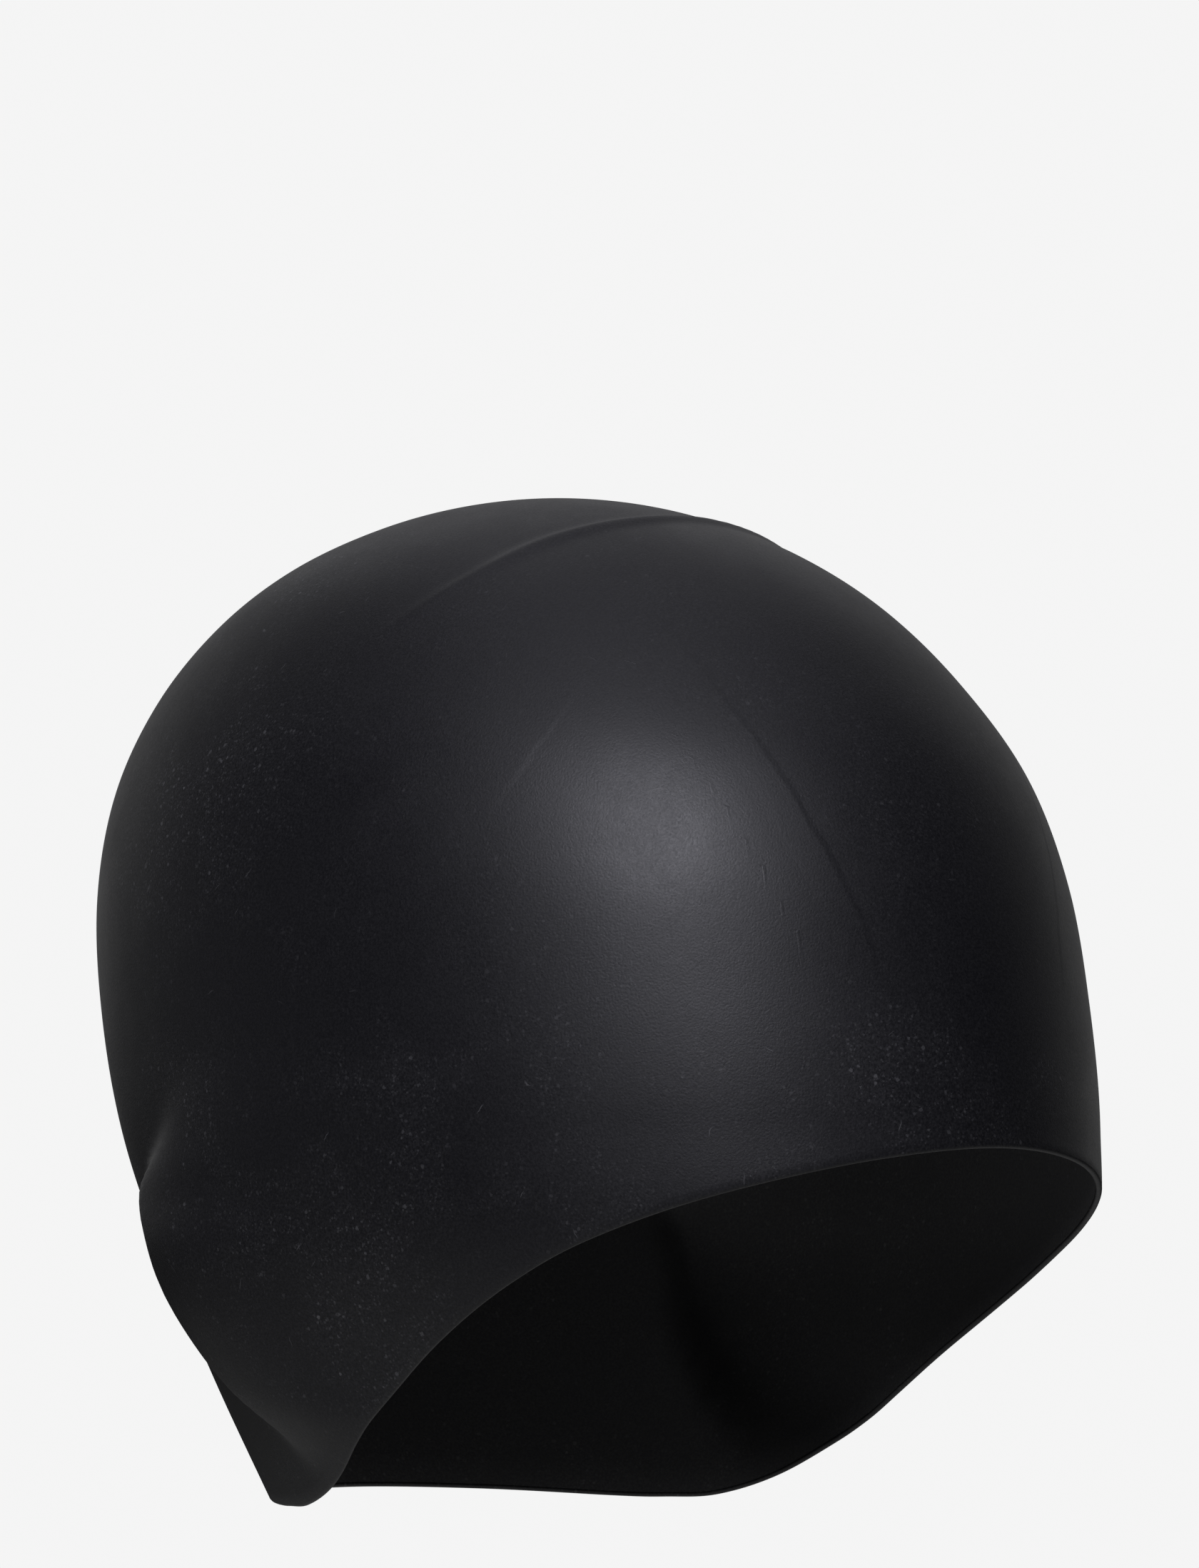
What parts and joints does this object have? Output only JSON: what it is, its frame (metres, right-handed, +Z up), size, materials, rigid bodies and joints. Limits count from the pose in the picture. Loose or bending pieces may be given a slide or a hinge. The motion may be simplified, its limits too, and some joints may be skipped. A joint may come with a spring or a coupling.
{
  "type": "silicone swim cap in its worn shape",
  "caption": "Plain silicone swim cap in its worn dome shape, cut high at the brow with deep ear flaps and a raised rib across the crown.",
  "frame": {"origin": "inside of the crown at its highest point, where the top of a head holds the cap", "axes": "+Z up, the forehead hem faces -Y and the nape +Y, and the wearer's right ear is on -X"},
  "size_m": [0.154, 0.2019, 0.18],
  "materials": {
    "silicone": "satin moulded silicone, with a fine grain and a little dust"
  },
  "bodies": {
    "root": {"cap_shell": "silicone"}
  },
  "joints": []
}
